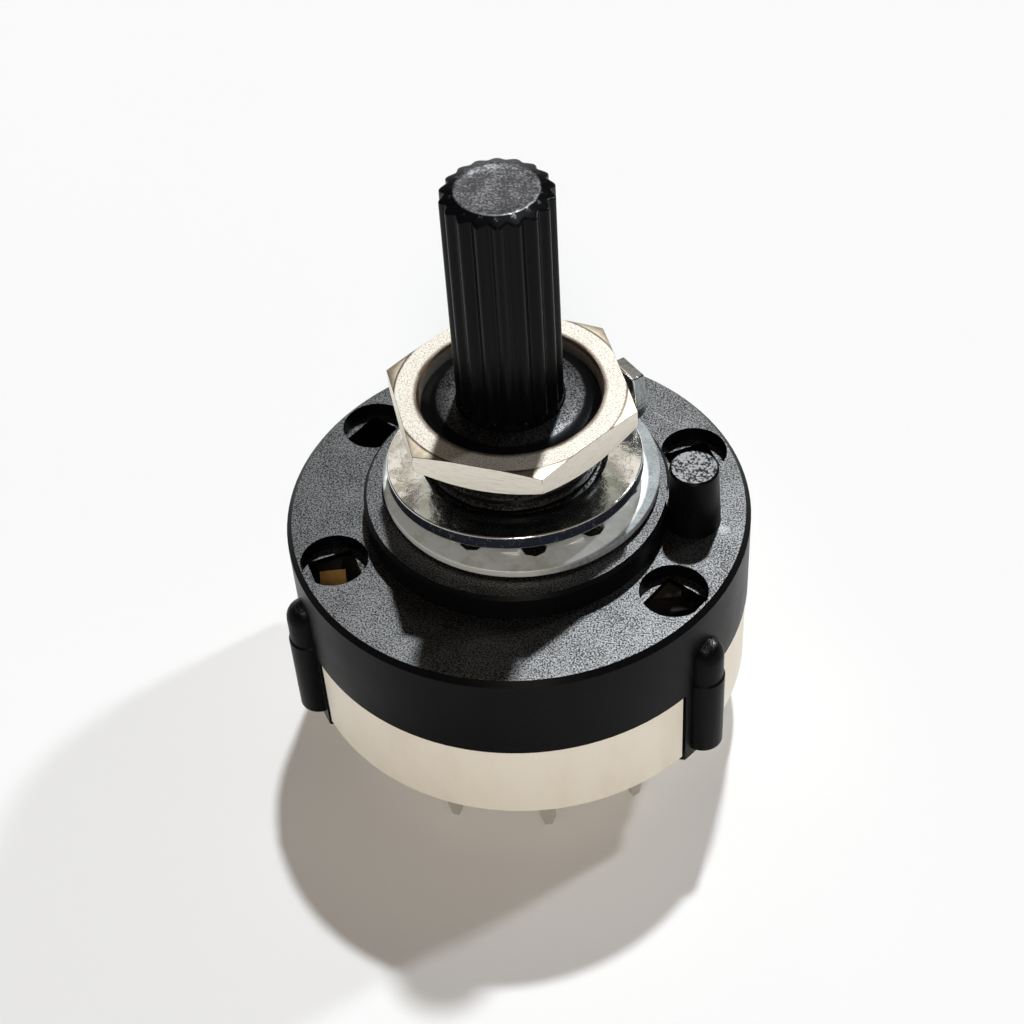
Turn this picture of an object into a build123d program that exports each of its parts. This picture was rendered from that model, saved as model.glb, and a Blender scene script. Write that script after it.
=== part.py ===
# Panel-mount rotary selector switch, one pole and twelve ways.
# Millimetres. Z runs up the shaft, and Z = 0 is the panel seat on top of the cover's boss.
# X runs from the shaft to the locating post.

import os
from math import asin, cos, degrees, radians, sin, tan

from build123d import *

os.makedirs("parts", exist_ok=True)

# Closeness that tells one edge from another
tiny = 1e-6

# Switching
ways = 12
way_angle = 360 / ways
first_way_angle = way_angle / 2

# Clearances
running_gap = 0.05
end_gap = 0.15
seat_gap = 0.05
wiper_gap = 0.2

# Shaft
shaft_radius = 3.0
shaft_top = 21.0
spline_count = 18
spline_depth = 0.28
spline_tip_share = 0.3
spline_root_share = 0.72
spline_bottom_gap = 0.4
shaft_bevel_height = 0.3
shaft_bevel_reach = 0.9
collar_step = 0.9
head_radius = 6.6
head_height = 3.2
neck_radius = 3.4
neck_height = 2.4
drive_width = 4.4
pivot_radius = 1.9
pivot_recess = 0.3

# Bushing and boss
bushing_radius = 5.0
bushing_height = 7.0
bushing_chamfer = 0.45
boss_step = 3.85
boss_height = 1.7
boss_chamfer = 0.2
seat_wall = 1.2

# Cover
cover_radius = 13.5
skirt_height = 6.0
cover_wall = 0.9
top_wall = 1.4
edge_chamfer = 0.3
recess_inset = 2.3
recess_radius = 1.95
recess_depth = 1.0
recess_slot = 2.7
post_radius = 1.4
post_root_step = 0.2
post_overlap = 0.05
post_height = 2.5
post_chamfer = 0.12

# Snap legs, each below a recess
leg_angles = (30, 150, 210, 330)
leg_width = 3.4
leg_side_gap = 0.15
hook_height = 0.7
hook_reach = 0.6
rib_radius = 1.1
rib_step = 0.09
rib_drop = 2.7
rib_step_drop = 5.5
rib_end_drop = 0.3
foot_chamfer = 0.6

# Detent
plunger_radius = 1.25
plunger_tail = 1.2
plunger_height = 2.2
plunger_gap = 0.05
plunger_crest_gap = 0.08
crest_gap = 0.4
notch_depth = 0.5
notch_angle = 120.0
ring_wall = 1.6
spring_wire_radius = 0.16
spring_coil_radius = 0.85
spring_turns = 2
spring_wire_sides = 4
spring_depth = 5.2
spring_end_gap = 0.03

# End stop
lug_height = 0.8
stop_inner_radius = 4.3
stop_outer_radius = 6.2
stop_rib_angle = 16.0
stop_play_angle = 0.5

# Base
base_inset = 0.1
base_height = 5.6
base_floor = 1.4

# Contacts
blade_inset = 2.6
blade_thick = 0.5
blade_width = 1.6
blade_rise = 1.2
tongue_gap = 0.5
blade_slot_width = 1.1
blade_slot_gap = 0.02
pin_width = 0.9
pin_length = 4.8
pin_tip_height = 0.9
pin_tip_width = 0.4
common_gap = 0.3
common_width = 2.0
common_sides = 8
common_angle = 180

# Contact carrier and wiper
carrier_inset = 0.7
carrier_thick = 1.6
carrier_hub_radius = 4.2
carrier_hub_sides = 8
carrier_arm_width = 3.4
stake_radius = 0.6
wiper_thick = 0.25
wiper_width = 2.4
finger_width = 1.1
finger_height = 1.5

# Nut
nut_sides = 6
nut_wall = 1.25
nut_height = 1.95
nut_drop = 1.55
nut_corner_angle = 52.8
nut_bore_gap = 0.05
nut_bore_chamfer = 0.12
nut_face_share = 0.965
nut_ring_share = 1.03
nut_corner_drop = 0.14
nut_bevel_height = 0.75

# Lock washer with twisted inner teeth
lock_tip_gap = 0.7
lock_tooth_length = 0.5
lock_slot_depth = 0.7
lock_rim_width = 1.1
lock_slot_width = 1.5
lock_slot_sides = 8
lock_thick = 0.45
lock_lift = 0.22
lock_twist = 12.0
lock_teeth = 11
lock_offset_x = 0.2
lock_offset_y = 0.56
lock_turn = 7.8

# Tab washer, tilted on the thread
tab_bore_gap = 0.25
tab_ring_width = 2.05
tab_thick = 0.8
tab_top_height = 2.4
tab_tilt = 6.0
tab_raised_angle = -73.0
tab_angle = 40.0
tab_width = 2.2
tab_reach = 1.0
tab_rise = 2.2
tab_bend = 1.0

# Levels worked out from the sizes
flat_z = -boss_height
plate_z = flat_z - top_wall
skirt_z = flat_z - skirt_height
base_z = skirt_z - base_height
floor_z = base_z + base_floor
ceiling_z = -seat_wall
lug_z = ceiling_z - end_gap
head_top_z = lug_z - lug_height
head_bottom_z = head_top_z - head_height
plunger_z = (head_top_z + head_bottom_z) / 2
carrier_top_z = head_bottom_z - neck_height
carrier_bottom_z = carrier_top_z - carrier_thick
hub_z = floor_z + end_gap
leg_bottom_z = base_z - seat_gap - hook_height
pin_z = base_z - pin_length
rib_top_z = flat_z - rib_drop
rib_step_z = flat_z - rib_step_drop
rib_end_z = base_z - rib_end_drop
nut_bottom_z = bushing_height - nut_drop
blade_top_z = skirt_z + blade_rise
nut_top_z = nut_bottom_z + nut_height

# Radii worked out from the sizes
bore_radius = shaft_radius + running_gap
collar_radius = shaft_radius + collar_step
spline_root_radius = shaft_radius - spline_depth
shaft_face_radius = shaft_radius - shaft_bevel_reach
boss_radius = bushing_radius + boss_step
inner_radius = cover_radius - cover_wall
recess_circle = cover_radius - recess_inset
post_circle = boss_radius + post_radius - post_overlap
rib_centre = cover_radius - rib_step
foot_radius = rib_radius + rib_step
crest_radius = head_radius + crest_gap
plunger_circle = crest_radius - plunger_crest_gap - plunger_radius
base_radius = cover_radius - base_inset
blade_circle = base_radius - blade_inset
base_inner_radius = blade_circle + blade_thick / 2 + seat_gap
tongue_start = blade_circle - blade_thick / 2
tongue_end = inner_radius - tongue_gap
finger_circle = blade_circle - blade_thick / 2 - wiper_gap - wiper_thick
carrier_radius = finger_circle - carrier_inset
common_inner_radius = carrier_hub_radius + common_gap
common_outer_radius = common_inner_radius + common_width
foot_circle = (common_inner_radius + common_outer_radius) / 2
stake_circle = (foot_circle + carrier_radius) / 2
nut_bore_radius = bushing_radius + nut_bore_gap
nut_flat_radius = bushing_radius + nut_wall
nut_corner_radius = nut_flat_radius / cos(radians(180 / nut_sides))
nut_face_radius = nut_face_share * nut_flat_radius
nut_ring_radius = nut_ring_share * nut_flat_radius
lock_tip_radius = bushing_radius + lock_tip_gap
lock_root_radius = lock_tip_radius + lock_tooth_length
lock_slot_radius = lock_root_radius + lock_slot_depth
lock_outer_radius = lock_slot_radius + lock_rim_width
tab_inner_radius = bushing_radius + tab_bore_gap
tab_outer_radius = tab_inner_radius + tab_ring_width

# Angles worked out from the sizes
stop_lug_angle = way_angle - stop_rib_angle - 2 * stop_play_angle
leg_arc = 2 * degrees(asin(leg_width / 2 / cover_radius))
notch_arc = 2 * degrees(asin((leg_width / 2 + leg_side_gap) / cover_radius))


def upright_plane(angle, place=(0, 0, 0)):
    # A vertical plane: local x points outwards at this angle, local y points up.
    turn = radians(angle)
    return Plane(origin=place, x_dir=(cos(turn), sin(turn), 0), z_dir=(sin(turn), -cos(turn), 0))


def polar_place(radius, angle, height=0.0):
    turn = radians(angle)
    return (radius * cos(turn), radius * sin(turn), height)


def polar_plane(radius, angle, height):
    # A level plane at a polar place, with local x pointing outwards.
    turn = radians(angle)
    return Plane(origin=polar_place(radius, angle, height), x_dir=(cos(turn), sin(turn), 0), z_dir=(0, 0, 1))


def rims_at(piece, radius, height):
    # The round edges of one radius at one level.
    circles = piece.edges().filter_by(GeomType.CIRCLE)
    level = circles.filter_by(lambda edge: abs(edge.center().Z - height) < tiny)
    return level.filter_by(lambda edge: abs(edge.radius - radius) < tiny)


def finish(piece, name):
    piece.part.label = name
    export_step(piece.part, f"parts/{name}.step")


# Cover: a turned section, then notches, end stop, post, legs and recesses
with BuildPart() as cover:
    with BuildSketch(Plane.XZ):
        with BuildLine():
            Polyline(
                (bore_radius, ceiling_z),
                (bore_radius, bushing_height),
                (bushing_radius, bushing_height),
                (bushing_radius, 0),
                (boss_radius, 0),
                (boss_radius, flat_z),
                (cover_radius, flat_z),
                (cover_radius, skirt_z),
                (inner_radius, skirt_z),
                (inner_radius, plate_z),
                (crest_radius + ring_wall, plate_z),
                (crest_radius + ring_wall, head_bottom_z),
                (crest_radius, head_bottom_z),
                (crest_radius, ceiling_z),
                close=True,
            )
        make_face()
    revolve(axis=Axis.Z)
    chamfer(rims_at(cover, bushing_radius, bushing_height), bushing_chamfer)
    chamfer(rims_at(cover, boss_radius, 0), boss_chamfer)
    chamfer(rims_at(cover, cover_radius, flat_z), edge_chamfer)
    # Notches that the detent plunger drops into
    notch_half_width = 2 * notch_depth * tan(radians(notch_angle / 2))
    with BuildSketch(Plane.XY.offset(head_bottom_z)):
        with PolarLocations(crest_radius + notch_depth, ways):
            Polygon(
                (0, 0),
                (-2 * notch_depth, notch_half_width),
                (-2 * notch_depth, -notch_half_width),
                align=None,
            )
    extrude(amount=head_top_z - head_bottom_z, mode=Mode.SUBTRACT)
    # End stop under the seat
    with BuildSketch(upright_plane(way_angle / 2 - stop_rib_angle / 2)):
        with BuildLine():
            Polyline(
                (stop_inner_radius, ceiling_z + seat_wall / 2),
                (stop_outer_radius, ceiling_z + seat_wall / 2),
                (stop_outer_radius, head_top_z + end_gap),
                (stop_inner_radius, head_top_z + end_gap),
                close=True,
            )
        make_face()
    revolve(axis=Axis.Z, revolution_arc=stop_rib_angle)
    # Locating post on the flat, with a stouter root below the seat
    with BuildSketch(polar_plane(post_circle, 0, plate_z)):
        Circle(post_radius + post_root_step)
    extrude(amount=-plate_z)
    with BuildSketch(polar_plane(post_circle, 0, 0)):
        Circle(post_radius)
    extrude(amount=post_height)
    chamfer(rims_at(cover, post_radius, post_height), post_chamfer)
    # Snap legs: the strip carries on the skirt's wall and hooks under the base
    for angle in leg_angles:
        with BuildSketch(upright_plane(angle - leg_arc / 2)):
            with BuildLine():
                Polyline(
                    (inner_radius, skirt_z + cover_wall),
                    (cover_radius, skirt_z + cover_wall),
                    (cover_radius, leg_bottom_z + hook_height / 2),
                    (cover_radius - cover_wall / 2, leg_bottom_z),
                    (inner_radius, leg_bottom_z),
                    (inner_radius - hook_reach, leg_bottom_z + hook_height / 2),
                    (inner_radius - hook_reach, leg_bottom_z + hook_height),
                    (inner_radius, leg_bottom_z + hook_height),
                    close=True,
                )
            make_face()
        revolve(axis=Axis.Z, revolution_arc=leg_arc)
        # Half-round rib with a domed top, a small step and a bevelled foot
        rib_place = polar_place(rib_centre, angle)
        with BuildSketch(upright_plane(angle - 90, rib_place)):
            with BuildLine():
                RadiusArc((0, rib_top_z), (rib_radius, rib_top_z - rib_radius), rib_radius)
                Polyline(
                    (rib_radius, rib_top_z - rib_radius),
                    (rib_radius, rib_step_z),
                    (foot_radius, rib_step_z - rib_step),
                    (foot_radius, rib_end_z + foot_chamfer),
                    (foot_radius - foot_chamfer, rib_end_z),
                    (0, rib_end_z),
                    (0, rib_top_z),
                )
            make_face()
        revolve(axis=Axis(rib_place, (0, 0, 1)), revolution_arc=180)
    # Recesses in the flat top, each with a square slot through its floor
    for angle in leg_angles:
        with BuildSketch(polar_plane(recess_circle, angle, flat_z)):
            Circle(recess_radius)
        extrude(amount=-recess_depth, mode=Mode.SUBTRACT)
        with BuildSketch(polar_plane(recess_circle, angle, flat_z)):
            Rectangle(recess_slot, recess_slot)
        extrude(amount=-top_wall, mode=Mode.SUBTRACT)
finish(cover, "cover")


# Base: a cup with notches for the legs, slots for the blades and a bearing for the pivot
with BuildPart() as base:
    with BuildSketch(Plane.XZ):
        with BuildLine():
            Polyline(
                (pivot_radius + running_gap, base_z),
                (base_radius, base_z),
                (base_radius, skirt_z),
                (base_inner_radius, skirt_z),
                (base_inner_radius, floor_z),
                (pivot_radius + running_gap, floor_z),
                close=True,
            )
        make_face()
    revolve(axis=Axis.Z)
    for angle in leg_angles:
        with BuildSketch(upright_plane(angle - notch_arc / 2)):
            with BuildLine():
                Polyline(
                    (inner_radius - seat_gap, base_z),
                    (base_radius + cover_wall, base_z),
                    (base_radius + cover_wall, skirt_z),
                    (inner_radius - seat_gap, skirt_z),
                    close=True,
                )
            make_face()
        revolve(axis=Axis.Z, revolution_arc=notch_arc, mode=Mode.SUBTRACT)
    with BuildSketch(Plane.XY.offset(base_z)):
        with PolarLocations(blade_circle, ways, start_angle=first_way_angle):
            Rectangle(blade_thick + 2 * blade_slot_gap, blade_slot_width + 2 * blade_slot_gap)
        with PolarLocations(foot_circle, 1, start_angle=common_angle):
            Rectangle(blade_thick + 2 * blade_slot_gap, pin_width + 2 * blade_slot_gap)
    extrude(amount=base_floor, mode=Mode.SUBTRACT)
finish(base, "base")


# Shaft and rotor head, one moulding
spline_pitch = 360 / spline_count
spline_corners = (
    (spline_root_radius, -spline_root_share / 2),
    (shaft_radius, -spline_tip_share / 2),
    (shaft_radius, spline_tip_share / 2),
    (spline_root_radius, spline_root_share / 2),
)
spline_points = []
for tooth in range(spline_count):
    for radius, share in spline_corners:
        spline_points.append(polar_place(radius, (tooth + share) * spline_pitch))
with BuildPart() as shaft:
    with BuildSketch(Plane.XZ):
        with BuildLine():
            Polyline(
                (0, base_z + pivot_recess),
                (pivot_radius, base_z + pivot_recess),
                (pivot_radius, hub_z),
                (neck_radius, hub_z),
                (neck_radius, head_bottom_z),
                (head_radius, head_bottom_z),
                (head_radius, head_top_z),
                (collar_radius, head_top_z),
                (collar_radius, lug_z),
                (shaft_radius, lug_z),
                (shaft_radius, bushing_height + spline_bottom_gap),
                (0, bushing_height + spline_bottom_gap),
                close=True,
            )
        make_face()
    revolve(axis=Axis.Z)
    # Splines on the knob end
    with BuildSketch(Plane.XY.offset(bushing_height)):
        with BuildLine():
            Polyline(*spline_points, close=True)
        make_face()
    extrude(amount=shaft_top - bushing_height)
    # Bevel on the end, with one facet for each spline
    for tooth in range(spline_count):
        with BuildSketch(upright_plane(tooth * spline_pitch)):
            with BuildLine():
                Polyline(
                    (shaft_face_radius, shaft_top),
                    (shaft_radius, shaft_top - shaft_bevel_height),
                    (shaft_radius + shaft_bevel_reach, shaft_top - shaft_bevel_height),
                    (shaft_radius + shaft_bevel_reach, shaft_top),
                    close=True,
                )
            make_face()
        extrude(amount=shaft_radius, both=True, mode=Mode.SUBTRACT)
    # Square drive for the contact carrier
    with BuildSketch(Plane.XY.offset(hub_z)):
        Circle(neck_radius + running_gap)
        Rectangle(drive_width, drive_width, mode=Mode.SUBTRACT)
    extrude(amount=carrier_top_z - hub_z, mode=Mode.SUBTRACT)
    # Stop lug
    with BuildSketch(upright_plane(-stop_lug_angle / 2)):
        with BuildLine():
            Polyline(
                (stop_inner_radius, head_top_z - lug_height),
                (stop_outer_radius, head_top_z - lug_height),
                (stop_outer_radius, lug_z),
                (stop_inner_radius, lug_z),
                close=True,
            )
        make_face()
    revolve(axis=Axis.Z, revolution_arc=stop_lug_angle)
    # Blind pocket for the detent spring and plunger
    with BuildSketch(Plane.YZ.offset(head_radius)):
        with Locations((0, plunger_z)):
            Rectangle(2 * (plunger_radius + plunger_gap), plunger_height + 2 * plunger_gap)
    extrude(amount=-spring_depth, mode=Mode.SUBTRACT)
finish(shaft, "shaft")


# Detent plunger with a half-round nose, held just clear of the crests between the notches
plunger_back = plunger_circle - plunger_tail
with BuildPart() as detent_plunger:
    with BuildSketch(Plane.XY.offset(plunger_z - plunger_height / 2)):
        with BuildLine():
            CenterArc((plunger_circle, 0), plunger_radius, -90, 180)
            Polyline(
                (plunger_circle, plunger_radius),
                (plunger_back, plunger_radius),
                (plunger_back, -plunger_radius),
                (plunger_circle, -plunger_radius),
            )
        make_face()
    extrude(amount=plunger_height)
finish(detent_plunger, "detent_plunger")


# Detent spring, from the bottom of the pocket to the plunger
spring_start = head_radius - spring_depth + spring_wire_radius + spring_end_gap
spring_length = plunger_back - spring_wire_radius - spring_end_gap - spring_start
with BuildPart() as detent_spring:
    with BuildLine():
        coil = Helix(
            pitch=spring_length / spring_turns,
            height=spring_length,
            radius=spring_coil_radius,
            center=(spring_start, 0, plunger_z),
            direction=(1, 0, 0),
        )
    with BuildSketch(Plane(origin=coil @ 0, z_dir=coil % 0)):
        RegularPolygon(spring_wire_radius, spring_wire_sides)
    sweep(path=coil, is_frenet=True)
finish(detent_spring, "detent_spring")


# Contact carrier: a hub with a square hole, and an arm with a stake for the wiper
with BuildPart() as contact_carrier:
    with BuildSketch(Plane.XY.offset(hub_z)):
        RegularPolygon(carrier_hub_radius, carrier_hub_sides)
    extrude(amount=carrier_top_z - hub_z)
    with BuildSketch(polar_plane(carrier_radius / 2, first_way_angle, carrier_bottom_z)):
        Rectangle(carrier_radius, carrier_arm_width)
    extrude(amount=carrier_thick)
    with BuildSketch(polar_plane(stake_circle, first_way_angle, carrier_bottom_z - 2 * wiper_thick)):
        Circle(stake_radius)
    extrude(amount=2 * wiper_thick)
    with BuildSketch(Plane.XY.offset(hub_z)):
        Rectangle(drive_width, drive_width)
    extrude(amount=carrier_top_z - hub_z, mode=Mode.SUBTRACT)
finish(contact_carrier, "contact_carrier")


# Wiper: a folded strip with a finger at the blades and a foot over the collector ring
wiper_end = finger_circle + wiper_thick
wiper_start = carrier_hub_radius + seat_gap
foot_z = floor_z + blade_thick + wiper_gap
with BuildPart() as wiper:
    with BuildSketch(upright_plane(first_way_angle)):
        with BuildLine():
            Polyline(
                (wiper_start, carrier_bottom_z),
                (wiper_start, carrier_bottom_z - wiper_thick),
                (foot_circle - wiper_thick, carrier_bottom_z - wiper_thick),
                (foot_circle - wiper_thick, foot_z),
                (foot_circle + 2 * wiper_thick, foot_z),
                (foot_circle + 2 * wiper_thick, foot_z + wiper_thick),
                (foot_circle, foot_z + wiper_thick),
                (foot_circle, carrier_bottom_z - wiper_thick),
                (carrier_radius, carrier_bottom_z - wiper_thick),
                (carrier_radius, carrier_bottom_z),
                close=True,
            )
        make_face()
    extrude(amount=wiper_width / 2, both=True)
    with BuildSketch(upright_plane(first_way_angle)):
        with BuildLine():
            Polyline(
                (carrier_radius - wiper_thick, carrier_bottom_z),
                (carrier_radius - wiper_thick, carrier_bottom_z - wiper_thick),
                (wiper_end, carrier_bottom_z - wiper_thick),
                (wiper_end, carrier_bottom_z + finger_height),
                (finger_circle, carrier_bottom_z + finger_height),
                (finger_circle, carrier_bottom_z),
                close=True,
            )
        make_face()
    extrude(amount=finger_width / 2, both=True)
    with BuildSketch(polar_plane(stake_circle, first_way_angle, carrier_bottom_z)):
        Circle(stake_radius)
    extrude(amount=-wiper_thick, mode=Mode.SUBTRACT)
finish(wiper, "wiper")


# Terminals, numbered clockwise from the knob end: a blade with a bent tongue inside and a tapered pin below
for number in range(1, ways + 1):
    angle = first_way_angle - (number - 1) * way_angle
    with BuildPart() as terminal:
        with BuildSketch(upright_plane(angle + 90, polar_place(blade_circle, angle))):
            with BuildLine():
                Polyline(
                    (blade_width / 2, floor_z),
                    (blade_width / 2, blade_top_z),
                    (-blade_width / 2, blade_top_z),
                    (-blade_width / 2, floor_z),
                    (-blade_slot_width / 2, floor_z),
                    (-blade_slot_width / 2, base_z),
                    (-pin_width / 2, base_z),
                    (-pin_width / 2, pin_z + pin_tip_height),
                    (-pin_tip_width / 2, pin_z),
                    (pin_tip_width / 2, pin_z),
                    (pin_width / 2, pin_z + pin_tip_height),
                    (pin_width / 2, base_z),
                    (blade_slot_width / 2, base_z),
                    (blade_slot_width / 2, floor_z),
                    close=True,
                )
            make_face()
        extrude(amount=blade_thick / 2, both=True)
        with BuildSketch(polar_plane((tongue_start + tongue_end) / 2, angle, blade_top_z)):
            Rectangle(tongue_end - tongue_start, blade_width)
        extrude(amount=-blade_thick)
    finish(terminal, f"terminal_{number:02d}")


# Common terminal: a collector plate on the floor with one pin
with BuildPart() as common_terminal:
    with BuildSketch(Plane.XY.offset(floor_z)):
        RegularPolygon(common_outer_radius, common_sides, major_radius=False)
        RegularPolygon(common_inner_radius, common_sides, major_radius=False, mode=Mode.SUBTRACT)
    extrude(amount=blade_thick)
    common_place = polar_place(foot_circle, common_angle)
    with BuildSketch(upright_plane(common_angle + 90, common_place)):
        with BuildLine():
            Polyline(
                (pin_width / 2, floor_z + blade_thick),
                (-pin_width / 2, floor_z + blade_thick),
                (-pin_width / 2, pin_z + pin_tip_height),
                (-pin_tip_width / 2, pin_z),
                (pin_tip_width / 2, pin_z),
                (pin_width / 2, pin_z + pin_tip_height),
                close=True,
            )
        make_face()
    extrude(amount=blade_thick / 2, both=True)
finish(common_terminal, "common_terminal")


# Nut: a hexagon with its upper corners eased and its lower corners bevelled
with BuildPart() as hex_nut:
    with BuildSketch(Plane.XY.offset(nut_bottom_z)):
        RegularPolygon(nut_flat_radius, nut_sides, major_radius=False, rotation=nut_corner_angle)
    extrude(amount=nut_height)
    with BuildSketch(Plane.XZ):
        with BuildLine():
            Polyline(
                (nut_bore_radius, nut_bottom_z),
                (nut_face_radius, nut_bottom_z),
                (nut_corner_radius, nut_bottom_z + nut_bevel_height),
                (nut_corner_radius, nut_top_z - nut_corner_drop),
                (nut_ring_radius, nut_top_z),
                (nut_bore_radius + nut_bore_chamfer, nut_top_z),
                (nut_bore_radius, nut_top_z - nut_bore_chamfer),
                close=True,
            )
        make_face()
    revolve(axis=Axis.Z, mode=Mode.INTERSECT)
finish(hex_nut, "hex_nut")


# Lock washer: a ring with round-ended slots, and short inner teeth twisted about their own radius
tooth_pitch = 360 / lock_teeth
tooth_width = lock_root_radius * radians(tooth_pitch) - lock_slot_width
slot_circle = lock_slot_radius - lock_slot_width / 2
first_slot_angle = lock_turn + tooth_pitch / 2
with BuildPart() as lock_washer:
    with BuildSketch(Plane((lock_offset_x, lock_offset_y, lock_lift))):
        Circle(lock_outer_radius)
        RegularPolygon(lock_root_radius, lock_teeth, False, first_slot_angle, mode=Mode.SUBTRACT)
        with PolarLocations(slot_circle, lock_teeth, start_angle=first_slot_angle):
            RegularPolygon(lock_slot_width / 2, lock_slot_sides, mode=Mode.SUBTRACT)
    extrude(amount=lock_thick)
    for tooth in range(lock_teeth):
        turn = radians(lock_turn + tooth * tooth_pitch)
        twist = radians(lock_twist)
        tip = (
            lock_offset_x + lock_tip_radius * cos(turn),
            lock_offset_y + lock_tip_radius * sin(turn),
            lock_lift + lock_thick / 2,
        )
        across = (-sin(turn) * cos(twist), cos(turn) * cos(twist), sin(twist))
        with BuildSketch(Plane(origin=tip, x_dir=across, z_dir=(cos(turn), sin(turn), 0))):
            Rectangle(tooth_width, lock_thick)
        extrude(amount=lock_root_radius - lock_tip_radius + lock_thick)
finish(lock_washer, "lock_washer")


# Tab washer: a flat ring with one tab bent up at its rim, tilted on the bushing
tilt = radians(tab_tilt)
raised = radians(tab_raised_angle)
tab_normal = (-sin(tilt) * cos(raised), -sin(tilt) * sin(raised), cos(tilt))
tab_plane = Plane(origin=(0, 0, tab_top_height), x_dir=(cos(tilt), 0, -tab_normal[0]), z_dir=tab_normal)
turned_plane = tab_plane.rotated((0, 0, tab_angle))
fold_plane = Plane(origin=tab_plane.origin, x_dir=turned_plane.x_dir, z_dir=-turned_plane.y_dir)
tab_face = tab_outer_radius + tab_reach
bend_place = (tab_face - tab_bend, tab_bend - tab_thick)
with BuildPart() as tab_washer:
    with BuildSketch(tab_plane):
        Circle(tab_outer_radius)
        Circle(tab_inner_radius, mode=Mode.SUBTRACT)
    extrude(amount=-tab_thick)
    with BuildSketch(fold_plane):
        with BuildLine():
            CenterArc(bend_place, tab_bend, -90, 90)
            CenterArc(bend_place, tab_bend - tab_thick, -90, 90)
            Polyline(
                (bend_place[0], -tab_thick),
                (tab_outer_radius - tab_thick, -tab_thick),
                (tab_outer_radius - tab_thick, 0),
                (bend_place[0], 0),
            )
            Polyline(
                (tab_face, bend_place[1]),
                (tab_face, tab_rise),
                (tab_face - tab_thick, tab_rise),
                (tab_face - tab_thick, bend_place[1]),
            )
        make_face()
    extrude(amount=tab_width / 2, both=True)
finish(tab_washer, "tab_washer")
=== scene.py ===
import math

import bmesh
import bpy
import numpy as np
from mathutils import Matrix, Vector


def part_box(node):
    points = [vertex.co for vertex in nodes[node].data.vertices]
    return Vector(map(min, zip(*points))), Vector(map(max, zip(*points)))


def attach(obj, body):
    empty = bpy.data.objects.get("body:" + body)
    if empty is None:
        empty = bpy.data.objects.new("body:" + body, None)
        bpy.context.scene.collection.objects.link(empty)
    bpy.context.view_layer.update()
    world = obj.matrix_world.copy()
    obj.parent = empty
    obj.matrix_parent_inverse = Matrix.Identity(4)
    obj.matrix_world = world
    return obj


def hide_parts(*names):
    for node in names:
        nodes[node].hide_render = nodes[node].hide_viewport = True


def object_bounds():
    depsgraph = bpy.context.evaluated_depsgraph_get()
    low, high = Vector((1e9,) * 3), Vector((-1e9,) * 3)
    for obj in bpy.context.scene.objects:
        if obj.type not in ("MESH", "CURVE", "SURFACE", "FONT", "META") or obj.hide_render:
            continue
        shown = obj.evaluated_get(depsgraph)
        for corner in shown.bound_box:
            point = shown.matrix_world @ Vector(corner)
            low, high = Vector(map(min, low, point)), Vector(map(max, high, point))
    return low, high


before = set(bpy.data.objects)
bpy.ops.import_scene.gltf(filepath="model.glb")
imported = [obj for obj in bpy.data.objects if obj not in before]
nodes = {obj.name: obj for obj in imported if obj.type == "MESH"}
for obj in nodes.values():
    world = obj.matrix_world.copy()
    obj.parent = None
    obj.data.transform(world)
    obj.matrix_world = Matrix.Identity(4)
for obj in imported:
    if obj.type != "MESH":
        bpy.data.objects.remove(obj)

cadBox = [list(corner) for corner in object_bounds()]
mm = 0.001
print("frame:", len(nodes), "nodes")


# shader maths: a socket that can be added, subtracted, multiplied and divided like a number
class Wire:
    def __init__(self, finish, socket):
        self.finish = finish
        self.socket = socket

    def math(self, operation, first, second=0.0):
        return self.finish.node("ShaderNodeMath", {"operation": operation}, {0: first, 1: second})

    def __add__(self, other):
        return self.math("ADD", self, other)

    def __radd__(self, other):
        return self.math("ADD", other, self)

    def __sub__(self, other):
        return self.math("SUBTRACT", self, other)

    def __rsub__(self, other):
        return self.math("SUBTRACT", other, self)

    def __mul__(self, other):
        return self.math("MULTIPLY", self, other)

    def __rmul__(self, other):
        return self.math("MULTIPLY", other, self)

    def __truediv__(self, other):
        return self.math("DIVIDE", self, other)

    def __rtruediv__(self, other):
        return self.math("DIVIDE", other, self)


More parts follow.
